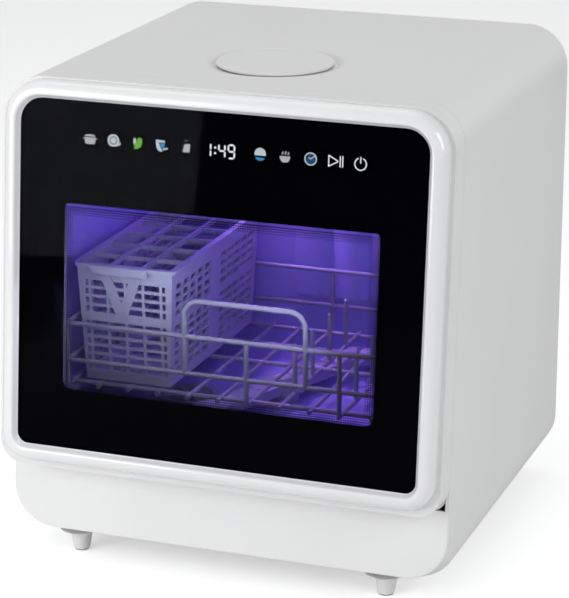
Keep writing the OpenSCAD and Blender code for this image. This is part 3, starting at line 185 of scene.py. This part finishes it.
NODE_MATERIAL = {
    "outer_casing": "cabinet", "rear_cover": "cabinet", "fill_lid": "cabinet", "door_band": "cabinet",
    "feet": "plinth", "plinth_panel": "plinth", "foot_pads": "pad", "base_tray": "base",
    "front_frame": "frame", "tub": "tub", "flute_panel": "tub", "door_seal": "seal",
    "fill_funnel": "duct", "fill_duct": "duct", "lid_seal": "seal", "water_tank": "tank",
    "tank_hose": "hose", "sump": "pump", "filter_cup": "filter", "spray_hub": "frame", "spray_arm": "arm",
    "suction_hose": "hose", "wash_pump": "pump", "wash_impeller": "impeller", "wash_motor": "motor",
    "drain_pump": "pump", "drain_impeller": "impeller", "drain_hose": "hose", "inlet_valve": "valve",
    "heater": "heater", "air_duct": "duct", "fan_housing": "pump", "fan_rotor": "pump",
    "float_guide": "frame", "float_switch": "impeller",
    "power_board": "board", "power_gland": "pump", "lamp_strip": "lamp",
    "rack_rails": "tub", "wire_rack": "wire", "cutlery_basket": "basket", "latch_housing": "pump",
    "latch_lever": "steel", "hinge_brackets": "steel", "hinge_arms": "steel", "hinge_pins": "steel",
    "door_bezel": "bezel", "door_glass": "glass", "print_mask": "mask", "door_liner": "frame",
    "inner_pane": "pane", "window_shroud": "pump", "touch_board": "board", "clock_display": "display",
    "detergent_cup": "frame", "detergent_lid": "latch", "latch_tongue": "latch", "cover_screws": "screw",
}
for name, o in NODES.items():
    o.data.materials.clear()
    o.data.materials.append(MAT[NODE_MATERIAL[name]])

# ---------- mesh helpers ----------


def piece(name, bm, body, material):
    """A flat-shaded object with one material, which rides on a body."""
    me = bpy.data.meshes.new(name)
    bm.to_mesh(me)
    bm.free()
    o = bpy.data.objects.new(name, me)
    bpy.context.scene.collection.objects.link(o)
    me.materials.append(material)
    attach(o, body)
    return o


def plate(bm, outline, h0, h1):
    """Adds a flat plate with the (x, s) outline, between the heights h0 and h1 of the leaning front."""
    n = len(outline)
    low = [bm.verts.new(front(x, s, h0)) for x, s in outline]
    high = [bm.verts.new(front(x, s, h1)) for x, s in outline]
    bm.faces.new(high)
    bm.faces.new(low[::-1])
    for i in range(n):
        j = (i + 1) % n
        bm.faces.new((low[i], low[j], high[j], high[i]))


def ring(bm, outer, inner, h0, h1):
    """A plate with one hole, from two outlines with as many points each."""
    n = len(outer)
    rows = [[bm.verts.new(front(x, s, h)) for x, s in line] for line, h in
            ((outer, h1), (inner, h1), (inner, h0), (outer, h0))]
    for k in range(4):
        a, b = rows[k], rows[(k + 1) % 4]
        for i in range(n):
            j = (i + 1) % n
            bm.faces.new((a[i], a[j], b[j], b[i]))


def rounded(x0, x1, s0, s1, r_low, r_high, steps=8):
    """The outline of a rectangle with rounded corners."""
    pts = []
    corners = ((x1, s0, -90, r_low), (x1, s1, 0, r_high), (x0, s1, 90, r_high), (x0, s0, 180, r_low))
    for cx, cy, a0, r in corners:
        ccx = cx - r if cx == x1 else cx + r
        ccy = cy + r if cy == s0 else cy - r
        for k in range(steps + 1):
            a = math.radians(a0 + 90 * k / steps)
            pts.append((ccx + r * math.cos(a), ccy + r * math.sin(a)))
    return pts


def disc(cx, cy, r, n):
    turns = [2 * math.pi * k / n for k in range(n)]
    return [(cx + r * math.cos(a), cy + r * math.sin(a)) for a in turns]


def stroke(points, w):
    """The left and the right side of a line of width w."""
    left, right = [], []
    n = len(points)
    for i, (x, y) in enumerate(points):
        ax, ay = points[max(i - 1, 0)]
        bx, by = points[min(i + 1, n - 1)]
        dx, dy = bx - ax, by - ay
        d = math.hypot(dx, dy) or 1
        nx, ny = -dy / d * w / 2, dx / d * w / 2
        left.append((x + nx, y + ny))
        right.append((x - nx, y - ny))
    return left, right


def line(bm, points, w, h0, h1):
    left, right = stroke(points, w)
    plate(bm, right + left[::-1], h0, h1)


# ---------- printed mask with its dotted border ----------

# half widths, lower and upper edges of the glass, of the window, and of its clear part inside the dots
GLASS_X, GLASS_LOW, GLASS_HIGH = 189.5, 102.3, 419.5
WIN_X, WIN_LOW, WIN_HIGH = 147.0, 156.3, 326.3
CLEAR_X, CLEAR_LOW, CLEAR_HIGH = 138.5, 164.5, 316.0
# the print lies behind the glass
MASK_H0, MASK_H1 = 30.4, 30.72
DOT_PITCH = 2.1
DOT_SMALL, DOT_LARGE = 0.45, 1.0


def make_mask():
    bm = bmesh.new()
    outer = rounded(-GLASS_X - 2, GLASS_X + 2, GLASS_LOW - 2, GLASS_HIGH + 2, 12, 24)
    inner = rounded(-WIN_X, WIN_X, WIN_LOW, WIN_HIGH, 8, 4)
    ring(bm, outer, inner, MASK_H0, MASK_H1)
    nx = int(2 * WIN_X / DOT_PITCH)
    ns = int((WIN_HIGH - WIN_LOW) / DOT_PITCH)
    for i in range(nx):
        for k in range(ns):
            x = -WIN_X + (i + 0.5) * DOT_PITCH
            s = WIN_LOW + (k + 0.5) * DOT_PITCH
            tx = (abs(x) - CLEAR_X) / (WIN_X - CLEAR_X)
            low = (CLEAR_LOW - s) / (CLEAR_LOW - WIN_LOW)
            high = (s - CLEAR_HIGH) / (WIN_HIGH - CLEAR_HIGH)
            t = max(tx, low, high)
            if t <= 0:
                continue
            plate(bm, disc(x, s, DOT_SMALL + (DOT_LARGE - DOT_SMALL) * min(1.0, t), 6), MASK_H0, MASK_H1)
    o = piece("window_mask", bm, "door", MAT["mask"])
    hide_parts("print_mask")


make_mask()

# ---------- lit symbols and the clock ----------

LIT_H0, LIT_H1 = 30.74, 30.96
SYMBOL_S = 385.5


def lit(name, color, power):
    return make_material(name, color, 0.5, var=0.06, bump=0.02, blotch=260, spec=0.1, emit=color,
        power=power)


LIT = {
    "white": lit("lit_white", (0.92, 0.94, 0.95), 1.65),
    "pale": lit("lit_pale", (0.60, 0.68, 0.74), 1.5),
    "grey": lit("lit_grey", (0.52, 0.53, 0.55), 1.5),
    "green": lit("lit_green", (0.16, 0.50, 0.05), 1.5),
    "blue": lit("lit_blue", (0.04, 0.30, 0.62), 1.5),
    "deep": lit("lit_deep", (0.02, 0.09, 0.22), 1.4),
}


def symbol(name, color, shapes):
    """One lit symbol, from filled outlines, lines and rings."""
    bm = bmesh.new()
    for kind, *a in shapes:
        if kind == "fill":
            plate(bm, a[0], LIT_H0, LIT_H1)
        elif kind == "line":
            line(bm, a[0], a[1], LIT_H0, LIT_H1)
        elif kind == "ring":
            x, s, r, w = a
            ring(bm, disc(x, s, r + w / 2, 40), disc(x, s, r - w / 2, 40), LIT_H0, LIT_H1)
    piece("symbol_" + name, bm, "door", LIT[color])


def at(cx, pts, k=1.0):
    return [(cx + x * k, SYMBOL_S + y * k) for x, y in pts]


def ellipse(rx, ry, n=28, a0=0, a1=360):
    """Points round an ellipse: a whole one leaves out its last point, an open one keeps it."""
    last = n if a1 - a0 == 360 else n + 1
    turns = [math.radians(a0 + (a1 - a0) * i / n) for i in range(last)]
    return [(rx * math.cos(a), ry * math.sin(a)) for a in turns]


def bowed(rx, ry, rise, angles):
    """Points on part of an ellipse whose centre is raised."""
    turns = [math.radians(a) for a in angles]
    return [(rx * math.cos(a), rise + ry * math.sin(a)) for a in turns]


def leaf_of_fan(k):
    """One of three leaves side by side, k from -1 to 1."""
    tip = 0.5 * abs(k)
    return [(-1.7, -4.4), (0.9, -4.4), (2.4 - 0.5 * k, 3.4 - tip), (1.2 - 0.5 * k, 4.2 - tip),
        (0.1 - 0.5 * k, 3.0)]


# a pot with a lid, a plate, a leaf, a cup, a fan of leaves, a drop of water, a bowl and a clock
X_POT, X_PLATE, X_LEAF, X_CUP, X_FAN = -124, -101, -78.5, -56, -33
X_DROP, X_BOWL, X_CLOCK, X_PLAY, X_POWER = 36, 58.7, 82, 105, 127
symbol("pot", "grey", [
    ("fill", at(X_POT, [(-5, 1.6), (-5, -2.6), (-3.8, -4.4), (3.8, -4.4), (5, -2.6), (5, 1.6)])),
    ("fill", at(X_POT, [(-5.4, 2.4), (5.4, 2.4), (4.4, 3.6), (1.2, 4.4), (-1.2, 4.4), (-4.4, 3.6)])),
    ("line", at(X_POT, [(-7, 0.6), (-5.2, 0.6)]), 1.0), ("line", at(X_POT, [(5.2, 0.6), (7, 0.6)]), 1.0)])
symbol("plate", "pale", [
    ("ring", X_PLATE - 0.6, SYMBOL_S + 0.6, 4.6, 1.9),
    ("fill", at(X_PLATE - 0.6, [(x, y + 0.6) for x, y in ellipse(2.9, 2.9)])),
    ("line", at(X_PLATE, [(3.6, -3.6), (5.4, -2.4), (6.4, -0.8)]), 1.2)])
symbol("leaf", "green", [
    ("fill", at(X_LEAF, [(-3.6, -5.2), (-0.4, -5.0), (2.6, -3.2), (4.4, 0.2), (4.2, 3.4), (2.6, 5.4),
        (0.6, 4.8), (-1.0, 2.2), (-2.2, -1.6)]))])
symbol("leaf_edge", "pale", [
    ("fill", at(X_LEAF, [(-3.4, 4.8), (-1.4, 3.4), (-1.7, 1.4), (-2.9, -1.8), (-4.1, -0.2), (-4.2, 2.4)]))])
symbol("cup", "pale", [
    ("fill", at(X_CUP, [(-5.2, 5.0), (-5.0, -0.6), (-3.6, -3.8), (-0.8, -5.6), (1.4, -5.2), (-0.6, -2.0),
        (-2.4, 1.2), (-2.6, 2.8), (3.2, 2.6), (3.4, 4.4)])),
    ("line", at(X_CUP, [(1.6, -3.4), (4.2, -2.6), (6.0, -2.2)]), 1.5)])
symbol("cup_water", "blue", [("fill", at(X_CUP,
    [(-2.0, 2.2), (-1.9, 1.2), (-0.2, -1.8), (1.8, -2.4), (3.2, -0.4), (3.1, 2.1)]))])
leaves = [("fill", at(X_FAN + 0.4 + 2.1 * k, leaf_of_fan(k), 0.92)) for k in (-1, 0, 1)]
symbol("fan", "grey", leaves + [
    ("fill", at(X_FAN + 0.3, [(x, y + 6.4) for x, y in ellipse(1.1, 0.45, 10)]))])
symbol("drop", "pale", [("fill", at(X_DROP, bowed(-5.2, 5.2, 0.6, range(-18, 199, 12))))])
symbol("drop_water", "blue", [("fill", at(X_DROP, bowed(4.6, 4.0, -1.5, range(-166, -13, 12))))])
symbol("bowl", "grey", [
    ("fill", at(X_BOWL, [(-5.0, 0.4), (-4.2, -2.8), (-2.0, -5.0), (2.0, -5.0), (4.2, -2.8), (5.0, 0.4)])),
    ("line", at(X_BOWL, [(-2.6, 1.6), (-1.8, 4.4)]), 1.0),
    ("line", at(X_BOWL, [(0.2, 1.6), (0.8, 5.0)]), 1.0),
    ("line", at(X_BOWL, [(2.8, 1.6), (3.4, 4.2)]), 1.0)])
symbol("clock_rim", "pale", [
    ("ring", X_CLOCK, SYMBOL_S, 5.2, 1.0),
    ("line", at(X_CLOCK, [(-1.9, 1.4), (0, -0.2), (4.4, 3.4)]), 0.9)])
symbol("clock_face", "deep", [
    ("fill", at(X_CLOCK, [(-1.0, -0.3), (-2.6, 1.4), (-4.3, 1.2), (-4.5, -0.8), (-3.4, -3.0), (-1.4, -4.4),
        (1.2, -4.4), (3.4, -3.1), (4.5, -0.8), (4.4, 2.2), (0.6, -0.9), (0, -1.2)])),
    ("fill", at(X_CLOCK, [(0.1, 0.6), (3.4, 3.1), (1.6, 4.2), (-1.0, 4.4), (-3.4, 3.1), (-1.8, 2.2)]))])
symbol("play", "white", [
    ("line", at(X_PLAY - 1.6, [(-5.0, 4.7), (3.5, 0.1)]), 0.9),
    ("line", at(X_PLAY - 1.6, [(3.5, -0.1), (-5.0, -4.7)]), 0.9),
    ("line", at(X_PLAY - 1.6, [(-5.0, -4.9), (-5.0, 4.9)]), 0.9),
    ("line", at(X_PLAY + 3.7, [(0, -4.9), (0, 4.9)]), 0.9),
    ("line", at(X_PLAY + 6.0, [(0, -4.9), (0, 4.9)]), 0.9)])
symbol("power", "white", [
    ("line", [(X_POWER + x, SYMBOL_S - 0.6 + y) for x, y in ellipse(5.2, 5.2, 36, 112, 428)], 0.95),
    ("line", at(X_POWER, [(0, 0), (0, 5.6)]), 0.95)])

# the seven bars of a digit, in a cell 1 wide and 1 tall, and the bars that each digit lights
SEGMENTS = {
    "a": ((0, 1), (1, 1)), "b": ((1, 1), (1, 0.5)), "c": ((1, 0.5), (1, 0)), "d": ((0, 0), (1, 0)),
    "e": ((0, 0.5), (0, 0)), "f": ((0, 1), (0, 0.5)), "g": ((0, 0.5), (1, 0.5)),
}
DIGITS = {"1": "bc", "4": "bcfg", "9": "abcdfg"}


def make_clock():
    bm = bmesh.new()
    w, tall, thick, g = 5.6, 11.6, 1.55, 0.35

    def bar(x0, y0, x1, y1):
        """A bar with pointed ends, drawn in by the gap between bars."""
        dx, dy = x1 - x0, y1 - y0
        d = math.hypot(dx, dy)
        ux, uy = dx / d, dy / d
        x0, y0, x1, y1 = x0 + ux * g, y0 + uy * g, x1 - ux * g, y1 - uy * g
        nx, ny = -uy * thick / 2, ux * thick / 2
        k = thick / 2
        pts = [
            (x0, y0), (x0 + ux * k - nx, y0 + uy * k - ny), (x1 - ux * k - nx, y1 - uy * k - ny),
            (x1, y1), (x1 - ux * k + nx, y1 - uy * k + ny), (x0 + ux * k + nx, y0 + uy * k + ny)]
        plate(bm, pts, LIT_H0, LIT_H1)

    for digit, x0 in (("1", -15.4), ("4", -2.2), ("9", 6.6)):
        for seg in DIGITS[digit]:
            (ax, ay), (bx, by) = SEGMENTS[seg]
            bar(x0 + ax * w, SYMBOL_S - tall / 2 + ay * tall, x0 + bx * w, SYMBOL_S - tall / 2 + by * tall)
    for dy in (-2.4, 2.4):
        plate(bm, disc(-5.6, SYMBOL_S + dy, 1.0, 14), LIT_H0, LIT_H1)
    piece("clock_digits", bm, "door", LIT["white"])


make_clock()

# ---------- floor, light and camera ----------


def make_floor():
    bm = bmesh.new()
    bmesh.ops.create_grid(bm, x_segments=8, y_segments=8, size=16.0)
    me = bpy.data.meshes.new("floor")
    bm.to_mesh(me)
    bm.free()
    o = bpy.data.objects.new("floor", me)
    bpy.context.scene.collection.objects.link(o)
    m = bpy.data.materials.new("floor_pale")
    m.use_nodes = True
    t = m.node_tree
    b = t.nodes["Principled BSDF"]
    b.inputs["Base Color"].default_value = (0.92, 0.92, 0.92, 1)
    b.inputs["Roughness"].default_value = 0.9
    b.inputs["Specular IOR Level"].default_value = 0.1
    out = t.nodes["Material Output"]
    glow = t.nodes.new("ShaderNodeEmission")
    glow.inputs["Color"].default_value = (1, 1, 1, 1)
    glow.inputs["Strength"].default_value = 0.42
    add = t.nodes.new("ShaderNodeAddShader")
    rays = t.nodes.new("ShaderNodeLightPath")
    most = t.nodes.new("ShaderNodeMath")
    most.operation = "MAXIMUM"
    t.links.new(rays.outputs["Is Camera Ray"], most.inputs[0])
    t.links.new(rays.outputs["Is Transmission Ray"], most.inputs[1])
    pick = t.nodes.new("ShaderNodeMixShader")
    t.links.new(most.outputs[0], pick.inputs["Fac"])
    t.links.new(b.outputs["BSDF"], pick.inputs[1])
    t.links.new(b.outputs["BSDF"], add.inputs[0])
    t.links.new(glow.outputs["Emission"], add.inputs[1])
    t.links.new(add.outputs["Shader"], pick.inputs[2])
    t.links.new(pick.outputs["Shader"], out.inputs["Surface"])
    me.materials.append(m)


def make_world():
    w = bpy.data.worlds.new("studio")
    bpy.context.scene.world = w
    w.use_nodes = True
    t = w.node_tree
    t.nodes.clear()
    out = t.nodes.new("ShaderNodeOutputWorld")
    white = t.nodes.new("ShaderNodeBackground")
    white.inputs["Color"].default_value = (1, 1, 1, 1)
    white.inputs["Strength"].default_value = 1.0
    soft = t.nodes.new("ShaderNodeBackground")
    soft.inputs["Color"].default_value = (0.97, 0.98, 1.0, 1)
    soft.inputs["Strength"].default_value = 0.36
    rays = t.nodes.new("ShaderNodeLightPath")
    a = t.nodes.new("ShaderNodeMath")
    a.operation = "MAXIMUM"
    b = t.nodes.new("ShaderNodeMath")
    b.operation = "MAXIMUM"
    t.links.new(rays.outputs["Is Camera Ray"], a.inputs[0])
    t.links.new(rays.outputs["Is Glossy Ray"], a.inputs[1])
    t.links.new(a.outputs[0], b.inputs[0])
    t.links.new(rays.outputs["Is Transmission Ray"], b.inputs[1])
    mix = t.nodes.new("ShaderNodeMixShader")
    t.links.new(b.outputs[0], mix.inputs["Fac"])
    t.links.new(soft.outputs["Background"], mix.inputs[1])
    t.links.new(white.outputs["Background"], mix.inputs[2])
    t.links.new(mix.outputs["Shader"], out.inputs["Surface"])


def softbox(name, place, target, size, watts, color=(1, 1, 1)):
    d = bpy.data.lights.new(name, "AREA")
    d.shape = "RECTANGLE"
    d.size, d.size_y = size
    d.energy = watts
    d.color = color
    o = bpy.data.objects.new(name, d)
    bpy.context.scene.collection.objects.link(o)
    o.location = place
    o.rotation_mode = "QUATERNION"
    o.rotation_quaternion = (Vector(target) - Vector(place)).to_track_quat("-Z", "Y")


make_floor()
make_world()
softbox("key_light", (-1.0, -1.4, 0.6), (0, 0, 0.2), (1.0, 1.0), 14)
softbox("fill_light", (2.6, -1.2, 1.6), (0, 0, 0.25), (1.6, 1.6), 33)
softbox("top_light", (-0.4, 0.2, 2.8), (0, 0, 0.4), (2.0, 2.0), 14)
# the machine's own violet lamp, and the light that the tub's walls send back to the front
lamp_low, lamp_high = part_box("lamp_strip")
lamp_y = (lamp_low.y + lamp_high.y) / 2
softbox("tub_light", (-0.09, lamp_y + 0.03, lamp_low.z - 0.01), (0.04, lamp_y + 0.05, lamp_low.z - 0.02),
    (0.03, 0.02), 2.7, (0.58, 0.30, 1.0))
softbox("tub_fill", (0, lamp_y - 0.12, lamp_low.z + 0.004), (0, lamp_y - 0.12, 0), (0.24, 0.03), 0.08,
    (0.16, 0.14, 1.0))
softbox("front_fill", (-0.04, SEAM + 0.018, 0.27), (-0.06, SEAM + 0.1, 0.235), (0.24, 0.10), 0.36,
    (0.62, 0.64, 1.0))

# the photograph's view: its angles, its distance, the point it looks at, and its focal length in pixels
AZ, EL, DIST = math.radians(20.18), math.radians(17.459), 2.4121
LOOK_AT = Vector((-0.013627, 0.200 + SEAM, 0.216442))
FOCAL, PHOTO_W, SENSOR = 2518.95, 569, 36.0
back = Vector((math.sin(AZ) * math.cos(EL), -math.cos(AZ) * math.cos(EL), math.sin(EL)))
lens = bpy.data.cameras.new("camera")
lens.sensor_fit = "HORIZONTAL"
lens.sensor_width = SENSOR
lens.lens = FOCAL / PHOTO_W * SENSOR
lens.shift_x = 0.00085
lens.shift_y = -0.00136
camera = bpy.data.objects.new("camera", lens)
bpy.context.scene.collection.objects.link(camera)
camera.location = LOOK_AT + back * DIST
camera.rotation_mode = "QUATERNION"
camera.rotation_quaternion = (-back).to_track_quat("-Z", "Y")
bpy.context.scene.camera = camera
bpy.context.scene.view_settings.view_transform = "Standard"
